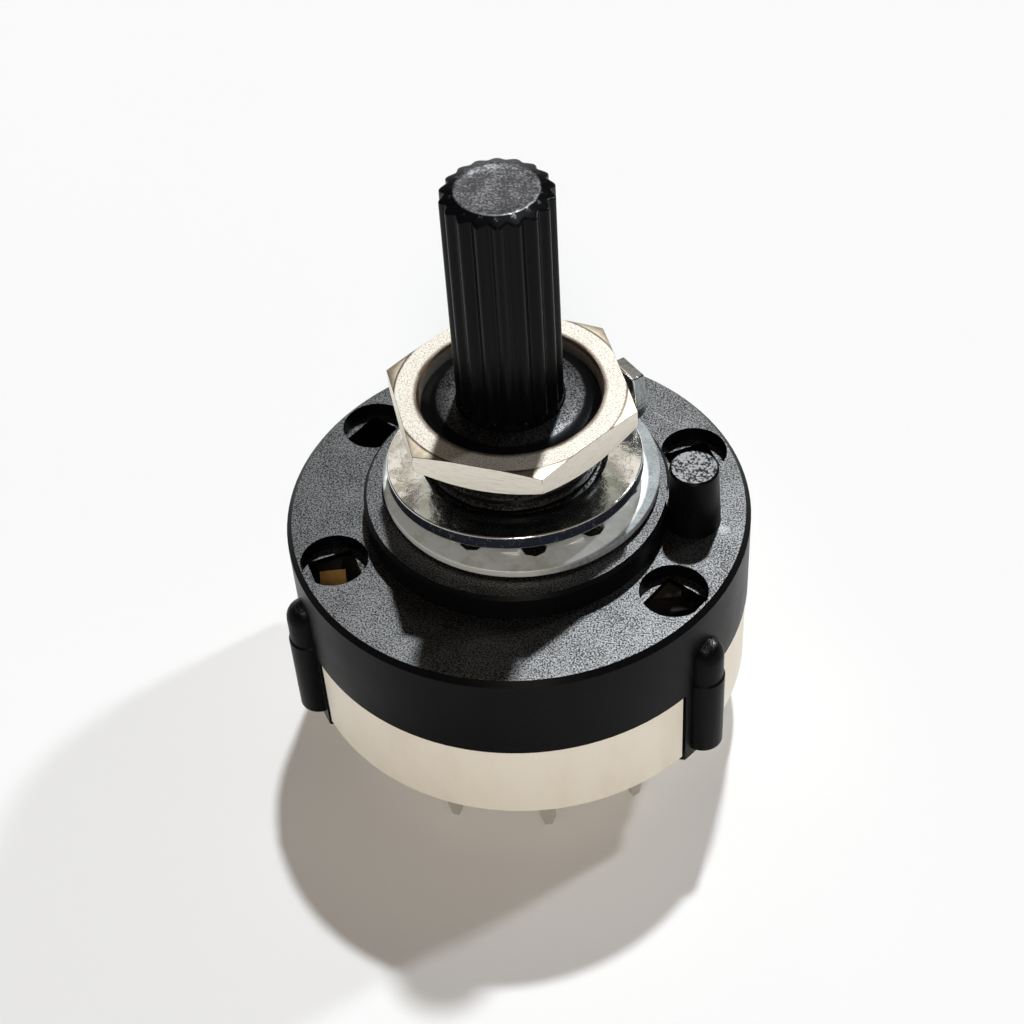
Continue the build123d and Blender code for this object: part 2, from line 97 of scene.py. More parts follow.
class Finish:
    # one material: constant values go straight on the shader, patterns are linked to it
    # with a node tree of its own (the sky's) it only makes nodes there
    def __init__(self, name, constants, tree=None):
        if tree is None:
            self.material = bpy.data.materials.new(name)
            self.material.use_nodes = True
            tree = self.material.node_tree
            self.shader = tree.nodes["Principled BSDF"]
            for socketName, value in constants.items():
                self.shader.inputs[socketName].default_value = value
        self.tree = tree
        self.kept = {}

    def node(self, kind, settings=None, inputs=None, output=0):
        made = self.tree.nodes.new(kind)
        for key, value in (settings or {}).items():
            setattr(made, key, value)
        for key, value in (inputs or {}).items():
            if isinstance(value, Wire):
                self.tree.links.new(value.socket, made.inputs[key])
            else:
                made.inputs[key].default_value = value
        return Wire(self, made.outputs[output])

    def vector(self, operation, first, second=(0, 0, 0), output="Value"):
        settings = {"operation": operation}
        return self.node("ShaderNodeVectorMath", settings, {0: first, 1: second}, output)

    def place(self, output="Object"):
        if output not in self.kept:
            self.kept[output] = self.node("ShaderNodeTexCoord", output=output)
        return self.kept[output]

    def axis(self, name, output="Object"):
        return self.node("ShaderNodeSeparateXYZ", inputs={0: self.place(output)}, output=name)

    def reach(self):
        # distance from the shaft's axis
        flat = self.vector("MULTIPLY", self.place(), (1, 1, 0), "Vector")
        return self.vector("LENGTH", flat)

    def noise(self, size, detail, rough, stretch=(1, 1, 1)):
        # these four stand together in the looks
        spot = self.node("ShaderNodeMapping", inputs={"Vector": self.place(), "Scale": stretch})
        made = {"Vector": spot, "Scale": 1 / size, "Detail": detail, "Roughness": rough}
        return self.node("ShaderNodeTexNoise", inputs=made, output="Fac")

    def ramp(self, value, low, high):
        # 0 at low, 1 at high, smooth between them; low may be the greater one
        made = {"Value": value, "From Min": low, "From Max": high}
        return self.node("ShaderNodeMapRange", {"interpolation_type": "SMOOTHSTEP"}, made)

    def mix(self, share, first, second):
        made = {0: share, 6: first, 7: second}  # factor and the two colours
        return self.node("ShaderNodeMix", {"data_type": "RGBA"}, made, output=2)

    def link(self, socketName, value):
        self.tree.links.new(value.socket, self.shader.inputs[socketName])

    def bump(self, height, reach):
        made = {"Distance": reach, "Height": height, "Strength": 1.0}
        self.link("Normal", self.node("ShaderNodeBump", inputs=made, output="Normal"))


def between(share, first, second):
    return first + share * (second - first)


def swing(pattern, width):
    # a pattern that runs from 0 to 1, as a swing about zero
    return (pattern - 0.5) * width


def tint(red, green, blue):
    return (red, green, blue, 1.0)


# black moulded nylon: spark-eroded grain that glints on the faces that look up, satin walls
coverLook = {
    "shine": {"Specular IOR Level": 0.05, "Coat IOR": 2.5, "Coat Roughness": 0.37},
    "colour": tint(0.0022, 0.0023, 0.0027),
    "wallPale": tint(0.0060, 0.0062, 0.0068),
    "wallGrain": (0.50, 0.75),
    "grainDark": tint(0.002, 0.002, 0.002),
    "grainPale": tint(0.009, 0.009, 0.0085),
    "grain": (0.095 * mm, 2.0, 0.65),
    "coarse": (0.135 * mm, 1.0, 0.5),  # grain on top of the post
    "coarseFrom": 2.3 * mm,
    "coarseTo": 2.7 * mm,
    "pale": (0.46, 0.70),  # where the grain turns pale
    "crisp": 0.02,  # how much sharper on top of the post
    "cloud": (2.2 * mm, 3.0, 0.6),
    "cloudShare": 0.16,
    "facing": (0.72, 0.97),  # upward share of the normal where the glint starts and is full
    "bushingFrom": 6.3 * mm,
    "bushingEdge": 4.10 * mm,
    "bushingShine": 0.55,
    "soft": 0.1 * mm,
    "rubbed": (12.0 * mm, -0.6 * mm, -1.7 * mm),
    "rubbedReach": (0.50 * mm, 0.15 * mm),
    "rubbedCloud": (0.40, 0.60),
    "rubbedShine": 0.35,
    "scratch": (7.57, 8.23),  # in mm, and the direction it runs in
    "scratchTurn": (0.81, -0.58),
    "scratchWide": (0.0040, 0.0005),  # squares of mm
    "scratchLong": (0.75, 0.35),
    "scratchShine": 0.30,
    "coatLow": 0.04,
    "coatGrain": 0.82,
    "topRough": 0.48,
    "wallRough": 0.34,
    "roughCloud": 0.16,
    "roughGrain": 0.20,
    "wallBump": 0.35,
    "reach": 0.020 * mm,
}


def coverPlastic():
    look = coverLook
    finish = Finish("coverPlastic", look["shine"])
    soft = look["soft"]
    facing = finish.ramp(finish.axis("Z", "Normal"), *look["facing"])
    height = finish.axis("Z")
    # the bushing's end is rubbed smooth, and its chamfer stays dark
    onBushing = finish.ramp(height, look["bushingFrom"], look["bushingFrom"] + soft)
    edge = look["bushingEdge"]
    endFace = finish.ramp(finish.reach(), edge + soft, edge - soft)
    facing = facing * (1.0 - onBushing * (1.0 - endFace * look["bushingShine"]))
    onPost = finish.ramp(height, look["coarseFrom"], look["coarseFrom"] + soft)
    onPost = onPost * finish.ramp(height, look["coarseTo"], look["coarseTo"] - soft)
    fine = finish.noise(*look["grain"])
    coarse = finish.noise(*look["coarse"])
    grain = between(onPost, fine, coarse)
    cloud = finish.noise(*look["cloud"])
    low, high = look["pale"]
    crisp = onPost * look["crisp"]
    pale = finish.ramp(grain + cloud * look["cloudShare"], low + crisp, high - crisp)
    top = finish.mix(pale, look["grainDark"], look["grainPale"])
    wall = finish.mix(finish.ramp(grain, *look["wallGrain"]), look["colour"], look["wallPale"])
    finish.link("Base Color", finish.mix(facing, wall, top))
    rough = between(facing, look["wallRough"], look["topRough"])
    rough = rough + swing(cloud, look["roughCloud"]) + swing(grain, look["roughGrain"])
    finish.link("Roughness", rough)
    # two marks of use: a rubbed spot beside the post and a thin scratch behind it
    spot = finish.vector("DISTANCE", finish.place(), look["rubbed"])
    rubbed = finish.ramp(spot, *look["rubbedReach"]) * finish.ramp(cloud, *look["rubbedCloud"])
    fromX = finish.axis("X") / mm - look["scratch"][0]
    fromY = finish.axis("Y") / mm - look["scratch"][1]
    turnX, turnY = look["scratchTurn"]
    across = fromY * turnX - fromX * turnY
    along = fromX * turnX + fromY * turnY
    scratch = finish.ramp(across * across, *look["scratchWide"])
    scratch = scratch * finish.ramp(along * along, *look["scratchLong"])
    marks = facing * (rubbed * look["rubbedShine"] + scratch * look["scratchShine"])
    finish.link("Coat Weight", facing * (look["coatLow"] + pale * look["coatGrain"]) + marks)
    finish.bump(grain * between(facing, look["wallBump"], 1.0), look["reach"])
    return finish


# the shaft: satin black with drawn flutes, its end face scuffed and grainy
shaftLook = {
    "shine": {"Specular IOR Level": 0.08, "Coat IOR": 2.4, "Coat Roughness": 0.36},
    "colour": tint(0.0022, 0.0024, 0.0030),
    "scuff": tint(0.10, 0.10, 0.108),
    "dull": tint(0.014, 0.014, 0.016),
    "facing": (0.80, 0.97),
    "endInside": (2.27 * mm, 2.17 * mm),
    "endAbove": (20.60 * mm, 20.80 * mm),
    "grain": (0.13 * mm, 2.0, 0.65),
    "drawn": (0.5 * mm, 3.0, 0.6, (1, 1, 0.06)),
    "patch": (0.9 * mm, 3.0, 0.6),
    "scuffGrain": 0.6,
    "scuffRamp": (0.44, 0.64),
    "ridges": 18.0,
    "nickWave": (0.3, 1.0),
    "nickPatch": (0.45, 0.60),
    "nickGrain": (0.42, 0.58),
    "nickOutside": (2.17 * mm, 2.25 * mm),
    "nickInside": (2.60 * mm, 2.30 * mm),
    "nickLevel": (0.60, 0.85),
    "nickCoat": 0.9,
    "endCoat": 0.25,
    "fluteRough": 0.26,
    "endRough": 0.46,
    "roughDrawn": 0.14,
    "fluteBump": 0.04,
    "drawnBump": 0.12,
    "reach": 0.020 * mm,
}


def shaftPlastic():
    look = shaftLook
    finish = Finish("shaftPlastic", look["shine"])
    level = finish.axis("Z", "Normal")
    reach = finish.reach()
    facing = finish.ramp(level, *look["facing"])
    inside = finish.ramp(reach, *look["endInside"])
    atEnd = facing * inside * finish.ramp(finish.axis("Z"), *look["endAbove"])
    grain = finish.noise(*look["grain"])
    drawn = finish.noise(*look["drawn"])
    patch = finish.noise(*look["patch"])
    worn = grain * look["scuffGrain"] + patch * (1.0 - look["scuffGrain"])
    scuff = finish.ramp(worn, *look["scuffRamp"])
    end = finish.mix(scuff, look["dull"], look["scuff"])
    # nicks where the ridges meet the end face: the wave is the cosine of ridges times the angle
    sides = {0: finish.axis("Y"), 1: finish.axis("X")}
    angle = finish.node("ShaderNodeMath", {"operation": "ARCTAN2"}, sides)
    wave = finish.node("ShaderNodeMath", {"operation": "COSINE"}, {0: angle * look["ridges"]})
    nick = finish.ramp(wave, *look["nickWave"]) * finish.ramp(patch, *look["nickPatch"])
    nick = nick * finish.ramp(grain, *look["nickGrain"]) * finish.ramp(level, *look["nickLevel"])
    nick = nick * finish.ramp(reach, *look["nickOutside"])
    nick = nick * finish.ramp(reach, *look["nickInside"])
    finish.link("Base Color", finish.mix(atEnd, look["colour"], end))
    rough = between(atEnd, look["fluteRough"], look["endRough"])
    finish.link("Roughness", rough + swing(drawn, look["roughDrawn"]))
    coat = atEnd * between(scuff, look["endCoat"], 1.0)
    finish.link("Coat Weight", coat + nick * look["nickCoat"])
    height = grain * between(atEnd, look["fluteBump"], 1.0) + drawn * look["drawnBump"]
    finish.bump(height, look["reach"])
    return finish


# natural nylon of the base: cream, a little see-through, with faint flow clouds
baseLook = {
    "shine": {
        "Subsurface Weight": 0.12,
        "Subsurface Scale": 0.8 * mm,
        "Subsurface Radius": (1.0, 0.8, 0.6),
    },
    "colour": tint(0.85, 0.79, 0.67),
    "shade": tint(0.79, 0.72, 0.59),
    "shadeRamp": (0.35, 0.75),
    # dark brown painted shade for the inside of the cup and its rim
    "paintedShade": tint(0.030, 0.026, 0.020),
    "paintedShadeInside": (11.3 * mm, 11.2 * mm),
    "paintedShadeAbove": (-12.4 * mm, -12.1 * mm),
    "paintedShadeRim": (-7.85 * mm, -7.75 * mm),
    "paintedShadeRough": 0.4,
    "cloud": (3.0 * mm, 4.0, 0.6, (1, 1, 0.5)),
    "cloudBump": 0.4,
    "grain": (0.10 * mm, 2.0, 0.5),
    "rough": 0.42,
    "roughCloud": 0.16,
    "reach": 0.010 * mm,
}


def basePlastic():
    look = baseLook
    finish = Finish("basePlastic", look["shine"])
    cloud = finish.noise(*look["cloud"])
    grain = finish.noise(*look["grain"])
    nylon = finish.mix(finish.ramp(cloud, *look["shadeRamp"]), look["colour"], look["shade"])
    # painted shade: dark brown on the inside of the cup and on its hidden rim, where the inside of
    # the housing lies in shade
    height = finish.axis("Z")
    paintedShadeAt = finish.ramp(finish.reach(), *look["paintedShadeInside"])
    paintedShadeAt = paintedShadeAt * finish.ramp(height, *look["paintedShadeAbove"])
    paintedShadeAt = paintedShadeAt + finish.ramp(height, *look["paintedShadeRim"])
    finish.link("Base Color", finish.mix(paintedShadeAt, nylon, look["paintedShade"]))
    rough = look["rough"] + swing(cloud, look["roughCloud"])
    finish.link("Roughness", rough + paintedShadeAt * look["paintedShadeRough"])
    finish.bump(grain + cloud * look["cloudBump"], look["reach"])
    return finish


# warm nickel on the nut: a granular ring, smooth flats with a tan bloom, marks along the sides
# and brown lines at the ring's outer line, at the bore's edge and on the rounded edges
nutLook = {
    "colour": tint(0.97, 0.925, 0.81),
    "bloom": tint(0.62, 0.51, 0.39),
    "flat": tint(0.66, 0.58, 0.45),
    "flatBloom": tint(0.40, 0.31, 0.22),
    "ring": tint(0.66, 0.625, 0.55),
    "speck": tint(0.38, 0.33, 0.26),
    "line": tint(0.10, 0.065, 0.045),
    "facing": (0.85, 0.98),
    "upright": (0.20, 0.03),  # square of the normal's upward share
    "ringRadius": 6.43 * mm,
    "ringSoft": 0.03 * mm,
    "boreRadius": 5.22 * mm,
    "lineWidth": 0.12 * mm,
    "lineLevel": (0.30, 0.60),
    "lineCover": 0.4,
    "edgeFrom": (0.001, 0.02),  # squares again, for the rounded edges
    "edgeTo": (0.96, 0.80),
    "edgeCover": 0.75,
    "edgeStain": 0.5,
    "grain": (0.10 * mm, 2.0, 0.6),
    "speckRamp": (0.46, 0.66),
    "streak": (0.09 * mm, 3.0, 0.65, (0.12, 0.12, 1.0)),
    "streakRamp": (0.50, 0.75),
    "streakShare": 0.45,
    "streakBump": 1.2,
    "stain": (1.6 * mm, 4.0, 0.65),
    "stainRamp": (0.42, 0.74),
    "stainShare": 0.08,
    "ringRough": 0.58,
    "flatRough": 0.36,
    "sideRough": 0.46,
    "roughStain": 0.12,
    "flatBump": 0.10,
    "reach": 0.020 * mm,
}


def nutPlating():
    look = nutLook
    finish = Finish("nutPlating", {"Metallic": 1.0})
    level = finish.axis("Z", "Normal")
    square = level * level
    facing = finish.ramp(level, *look["facing"])
    upright = finish.ramp(square, *look["upright"])
    reach = finish.reach()
    radius, soft, width = look["ringRadius"], look["ringSoft"], look["lineWidth"]
    ring = facing * finish.ramp(reach, radius + soft, radius - soft)
    grain = finish.noise(*look["grain"])
    streak = finish.noise(*look["streak"])
    stain = finish.noise(*look["stain"])
    clouded = finish.ramp(stain, *look["stainRamp"])
    brushed = upright * finish.ramp(streak, *look["streakRamp"])
    bloom = clouded * look["stainShare"] + brushed * look["streakShare"]
    side = finish.mix(bloom, look["colour"], look["bloom"])
    plate = finish.mix(facing, side, finish.mix(clouded, look["flat"], look["flatBloom"]))
    granular = finish.mix(finish.ramp(grain, *look["speckRamp"]), look["ring"], look["speck"])
    plate = finish.mix(ring, plate, granular)
    # brown at the ring's outer line, at the bore's edge and on the rounded edges
    outer = finish.ramp(reach, radius - width, radius)
    outer = outer * finish.ramp(reach, radius + width, radius)
    inner = finish.ramp(reach, look["boreRadius"] + 2 * width, look["boreRadius"])
    brownLines = finish.ramp(level, *look["lineLevel"]) * (outer + inner) * (look["lineCover"] + stain)
    edge = finish.ramp(square, *look["edgeFrom"]) * finish.ramp(square, *look["edgeTo"])
    brownLines = brownLines + edge * (look["edgeCover"] + stain * look["edgeStain"])
    finish.link("Base Color", finish.mix(brownLines, plate, look["line"]))
    rough = between(ring, look["flatRough"], look["ringRough"])
    rough = rough + upright * (look["sideRough"] - look["flatRough"])
    finish.link("Roughness", rough + swing(stain, look["roughStain"]))
    height = grain * between(ring, look["flatBump"], 1.0) + streak * upright * look["streakBump"]
    finish.bump(height, look["reach"])
    return finish


# bright zinc on both washers: rolled faces, sheared rims, a duller band outside with the tab; the
# tab ring's rims are near black, painted shade
# the lock ring is milkier and less like a mirror than the tab ring
zincLook = {
    "colour": tint(0.86, 0.90, 0.905),
    "milky": tint(0.66, 0.68, 0.61),
    "milkyRamp": (0.40, 0.70),
    "cloud": (1.3 * mm, 4.0, 0.6),
    "fine": (0.10 * mm, 2.0, 0.6),
    "shear": (0.14 * mm, 3.0, 0.7, (1, 1, 0.35)),
    "shearRamp": (0.56, 0.80),
    "shearBright": 0.3,
    "flat": (0.08, 0.25),  # square of the normal's upward share
    "dull": tint(0.17, 0.185, 0.19),
    "dullFrom": (7.45 * mm, 7.65 * mm),
    "dullCover": 0.6,
    "dullShear": 0.6,
    # the tab ring's edge colour is near black: painted shade on its rims
    "tab": {"rough": 0.15, "metallic": 1.0, "edge": tint(0.020, 0.023, 0.034)},
    "lock": {"rough": 0.46, "metallic": 0.30, "edge": tint(0.70, 0.71, 0.67)},
    "edgeRough": 0.40,
    "milkyRough": 0.08,
    "fineBump": 0.06,
    "shearBump": 1.6,
    "milkyBump": 0.8,
    "reach": 0.016 * mm,
}


def washerZinc(name, rough, metallic, edge):
    look = zincLook
    finish = Finish(name, {"Metallic": metallic})
    level = finish.axis("Z", "Normal")
    outside = finish.ramp(finish.reach(), *look["dullFrom"])
    flat = finish.ramp(level * level + outside, *look["flat"])
    milky = finish.ramp(finish.noise(*look["cloud"]), *look["milkyRamp"])
    fine = finish.noise(*look["fine"])
    shear = finish.noise(*look["shear"])
    face = finish.mix(milky, look["colour"], look["milky"])
    dull = outside * (look["dullCover"] + shear * look["dullShear"])
    face = finish.mix(dull, face, look["dull"])
    # rims take the edge colour with some face specks; on the tab ring that near black is painted
    # shade
    rim = finish.mix(finish.ramp(shear, *look["shearRamp"]) * look["shearBright"], edge, face)
    finish.link("Base Color", finish.mix(flat, rim, face))
    finish.link("Roughness", between(flat, look["edgeRough"], rough) + milky * look["milkyRough"])
    height = fine * look["fineBump"] + milky * look["milkyBump"]
    finish.bump(height + shear * (1.0 - flat) * look["shearBump"], look["reach"])
    return finish


# stamped strip for contacts and springs: rolling marks along the strip and a little tarnish
stripLook = {
    "rolled": (0.06 * mm, 3.0, 0.6, (1, 1, 0.08)),
    "cloud": (0.9 * mm, 4.0, 0.6),
    "tarnishRamp": (0.42, 0.75),
    "greaseSoft": 1.0 * mm,
    "tinSoft": 0.2 * mm,
    "roughRolled": 0.16,
    "roughCloud": 0.10,
    "reach": 0.004 * mm,
}


def stampedMetal(name, colour, tarnish, rough, metallic=1.0, tinned=None, paintedShadeAt=None):
    look = stripLook
    finish = Finish(name, {"Metallic": metallic})
    rolled = finish.noise(*look["rolled"])
    cloud = finish.noise(*look["cloud"])
    metal = finish.mix(finish.ramp(cloud, *look["tarnishRamp"]), colour, tarnish)
    # painted shade: beyond an edge along x the strip takes a dark colour
    if paintedShadeAt:
        edge, paintedShade = paintedShadeAt
        soft = look["greaseSoft"]
        metal = finish.mix(finish.ramp(finish.axis("X"), edge - soft, edge + soft), metal, paintedShade)
    if tinned:
        level, tin = tinned
        below = finish.ramp(finish.axis("Z"), level + look["tinSoft"], level)
        metal = finish.mix(below, metal, tin)
    finish.link("Base Color", metal)
    rough = rough + swing(rolled, look["roughRolled"]) + swing(cloud, look["roughCloud"])
    finish.link("Roughness", rough)
    finish.bump(rolled, look["reach"])
    return finish


# plain inner mouldings, clouded with a second colour; on the carrier that dark second colour is
# painted shade
innerLook = {
    "cloud": (1.2 * mm, 3.0, 0.6),
    "grain": (0.09 * mm, 2.0, 0.5),
    "rough": 0.50,
    "roughCloud": 0.16,
    "reach": 0.008 * mm,
}


def innerPlastic(name, colour, shade, secondRamp):
    look = innerLook
    finish = Finish(name, {})
    cloud = finish.noise(*look["cloud"])
    finish.link("Base Color", finish.mix(finish.ramp(cloud, *secondRamp), colour, shade))
    finish.link("Roughness", look["rough"] + swing(cloud, look["roughCloud"]))
    finish.bump(finish.noise(*look["grain"]), look["reach"])
    return finish


# brass contacts: tinned below the base, painted dark on the post's side as painted shade inside the
# housing
contactLook = {
    "colour": tint(1.0, 0.60, 0.19),
    "tarnish": tint(0.82, 0.45, 0.13),
    "rough": 0.53,
    "metallic": 0.3,
    "tinned": (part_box("base")[0][2], tint(0.50, 0.47, 0.42)),
    # painted shade on the contacts on the post's side
    "paintedShadeAt": (-2.0 * mm, tint(0.045, 0.038, 0.030)),
}

cover = coverPlastic()
shaft = shaftPlastic()
base = basePlastic()
nut = nutPlating()
tabZinc = washerZinc("tabZinc", **zincLook["tab"])
lockZinc = washerZinc("lockZinc", **zincLook["lock"])
brass = stampedMetal("contactBrass", **contactLook)
bronze = stampedMetal("wiperBronze", tint(0.72, 0.46, 0.27), tint(0.50, 0.30, 0.17), rough=0.31)
springWire = stampedMetal("springSteel", tint(0.56, 0.57, 0.59), tint(0.40, 0.40, 0.42), rough=0.33)
carrier = innerPlastic(  # painted shade nearly all over, for the shade inside the housing
    "carrierPlastic", tint(0.56, 0.52, 0.44), tint(0.05, 0.043, 0.033), secondRamp=(0.15, 0.42))
plunger = innerPlastic(
    "plungerPlastic", tint(0.80, 0.79, 0.75), tint(0.72, 0.71, 0.66), secondRamp=(0.4, 0.7))
print("finishes:", len(bpy.data.materials))


mergeStep = 1e-6  # points closer than a micrometre are one
nearBy = 5 * mergeStep  # points this close to a radius or height lie on it
# edges: segments of a bevel, and in degrees what counts as sharp and as flat
edgeSize = {"segments": 2, "sharpFrom": 32, "flatUnder": 0.5}


def mergedNode(name):
    # a CAD node as shared points and triangles: points that round to the same place become one
    mesh = nodes[name].data
    mesh.calc_loop_triangles()
    points = np.empty(3 * len(mesh.vertices), np.float32)
    mesh.vertices.foreach_get("co", points)
    corners = np.empty(3 * len(mesh.loop_triangles), np.int32)
    mesh.loop_triangles.foreach_get("vertices", corners)
    points = points.reshape(-1, 3).astype(float)
    rounded = np.round(points / mergeStep)
    first, place = np.unique(rounded, axis=0, return_index=True, return_inverse=True)[1:]
    return points[first], place.reshape(-1)[corners].reshape(-1, 3)


def makePiece(name, points, faces, finish, body, replaced, sharpAngle=None):
    mesh = bpy.data.meshes.new(name)
    mesh.from_pydata(points.tolist(), [], faces)
    mesh.shade_smooth()
    mesh.set_sharp_from_angle(angle=math.radians(sharpAngle or edgeSize["sharpFrom"]))
    mesh.materials.append(finish.material)
    piece = bpy.data.objects.new(name, mesh)
    bpy.context.scene.collection.objects.link(piece)
    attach(piece, body)
    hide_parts(replaced)
    return piece


def ringGrid(start, rows, columns):
    # quads between rows of a closed ring: row i, column j meets row i + 1 and column j + 1
    row = np.arange(rows - 1)[:, None] * columns
    here = np.arange(columns)[None, :]
    there = (here + 1) % columns
    corners = (row + here, row + there, row + columns + there, row + columns + here)
    return start + np.stack(corners, axis=-1).reshape(-1, 4)


def zipRings(lower, lowerTurn, upper, upperTurn):
    # triangles between two rings of any counts: both are walked by angle together,
    # and each new point closes one triangle
    lower = lower[np.argsort(lowerTurn)]
    upper = upper[np.argsort(upperTurn)]
    turns = np.concatenate((np.sort(lowerTurn), np.sort(upperTurn)))
    isLower = np.concatenate((np.ones(len(lower), int), np.zeros(len(upper), int)))
    step = isLower[np.argsort(turns, kind="stable")]
    atLower = np.cumsum(step) - 1
    atUpper = np.cumsum(1 - step) - 1
    reached = np.where(step == 1, lower[atLower % len(lower)], upper[atUpper % len(upper)])
    oldLower = lower[(atLower - step) % len(lower)]
    oldUpper = upper[(atUpper - 1 + step) % len(upper)]
    return np.stack((oldLower, reached, oldUpper), axis=-1)


def smoothStep(value):
    # 0 below 0, 1 above 1, three squares less two cubes between them
    value = np.clip(value, 0.0, 1.0)
    return value * value * (3.0 - 2.0 * value)


def polar(points):
    return np.hypot(points[:, 0], points[:, 1]), np.arctan2(points[:, 1], points[:, 0])


def roundGrid(radius, angle, height):
    # points at a radius, an angle and a height, as one list
    radius, angle, height = np.broadcast_arrays(radius, angle, height)
    return np.stack((radius * np.cos(angle), radius * np.sin(angle), height), -1).reshape(-1, 3)


# locating post: its step at the boss's height becomes one straight draft from top to foot
postSize = {
    "middle": 10.2 * mm,
    "low": 1.36 * mm,
    "high": 1.64 * mm,
    "draft": 1.52 * mm,
    "lip": 0.05,
    "clearOf": 8.9 * mm,
}


def easePostRoot(points):
    size = postSize
    middle = np.array((size["middle"], 0.0))
    away = points[:, :2] - middle
    reach = np.hypot(away[:, 0], away[:, 1])
    onStep = (reach > size["low"]) & (reach < size["high"]) & (np.abs(points[:, 2]) < nearBy)
    onStep &= np.hypot(points[:, 0], points[:, 1]) > size["clearOf"]
    # both edges of the step close in on the draft's radius, one twentieth of the step apart
    wanted = size["draft"] + size["lip"] * (reach[onStep] - size["draft"])
    points[onStep, :2] = middle + away[onStep] * (wanted / reach[onStep])[:, None]
    print("post root points eased:", int(onStep.sum()))


# cover: the CAD moulding with a real thread in place of the bushing's plain wall
threadSize = {
    "radius": 5.0 * mm,
    "low": 0.0 * mm,
    "high": 6.55 * mm,
    "pitch": 0.75 * mm,
    "depth": 0.36 * mm,
    "crest": 0.22,
    "fade": 0.40 * mm,
    "end": 7.0 * mm,
    "endBore": 3.8 * mm,
    "endRadius": 4.12 * mm,
    "rows": 150,
    "columns": 220,
}


def coverPiece():
    size = threadSize
    low, high, rows, columns = size["low"], size["high"], size["rows"], size["columns"]
    points, faces = mergedNode("cover")
    easePostRoot(points)
    reach, turn = polar(points)
    onWall = np.abs(reach - size["radius"]) < nearBy
    faces = faces[~onWall[faces].all(axis=1)]
    # the bushing's end face: its outer edge drawn in, which widens the chamfer
    onEnd = (np.abs(points[:, 2] - size["end"]) < nearBy) & (reach > size["endBore"])
    points[onEnd, :2] *= (size["endRadius"] / reach[onEnd])[:, None]
    print("bushing end points drawn in:", int(onEnd.sum()))
    lowRing = np.flatnonzero(onWall & (np.abs(points[:, 2] - low) < nearBy))
    highRing = np.flatnonzero(onWall & (np.abs(points[:, 2] - high) < nearBy))
    # radius = outer radius - depth * groove, with the groove a rounded wave
    # whose phase is height / pitch - angle / full turn, and fading out at both ends
    angles = np.linspace(-math.pi, math.pi, columns, endpoint=False)
    step = (high - low) / (rows + 1)
    height = np.linspace(low + step, high - step, rows)[:, None]
    wave = 0.5 - 0.5 * np.cos(2 * math.pi * height / size["pitch"] - angles)
    groove = smoothStep((wave - size["crest"]) / (1.0 - size["crest"]))
    fade = smoothStep((height - low) / size["fade"]) * smoothStep((high - height) / size["fade"])
    thread = roundGrid(size["radius"] - size["depth"] * groove * fade, angles, height)
    start = len(points)
    bottomRow = start + np.arange(columns)
    topRow = bottomRow + (rows - 1) * columns
    allFaces = faces.tolist()
    allFaces += ringGrid(start, rows, columns).tolist()
    allFaces += zipRings(lowRing, turn[lowRing], bottomRow, angles).tolist()
    allFaces += zipRings(topRow, angles, highRing, turn[highRing]).tolist()
    every = np.vstack((points, thread))
    makePiece("coverShell", every, allFaces, cover, "housing", "cover")


# shaft: the CAD rotor below, and above it eighteen rounded flutes with a bevelled, scuffed end
shaftSize = {
    "radius": 3.0 * mm,
    "root": 2.72 * mm,
    "count": 18,
    "ridgePower": 0.9,
    "bottom": 7.4 * mm,
    "footGap": 0.04 * mm,
    "top": 21.0 * mm,
    "bevelFrom": 20.66 * mm,
    "bevelLead": 0.15 * mm,
    "faceRadius": 2.10 * mm,
    "rounding": 0.045 * mm,
    "dish": 0.05 * mm,
    "dishShare": 0.25,
    "sharpAngle": 40,
    "columnsPerFlute": 14,
    "bodyRows": 30,
    "bevelRows": 14,
    "faceRows": 12,
}


def softLess(first, second, rounding):
    # the smaller of two lengths, with the corner between them rounded
    return -rounding * np.logaddexp(-first / rounding, -second / rounding)


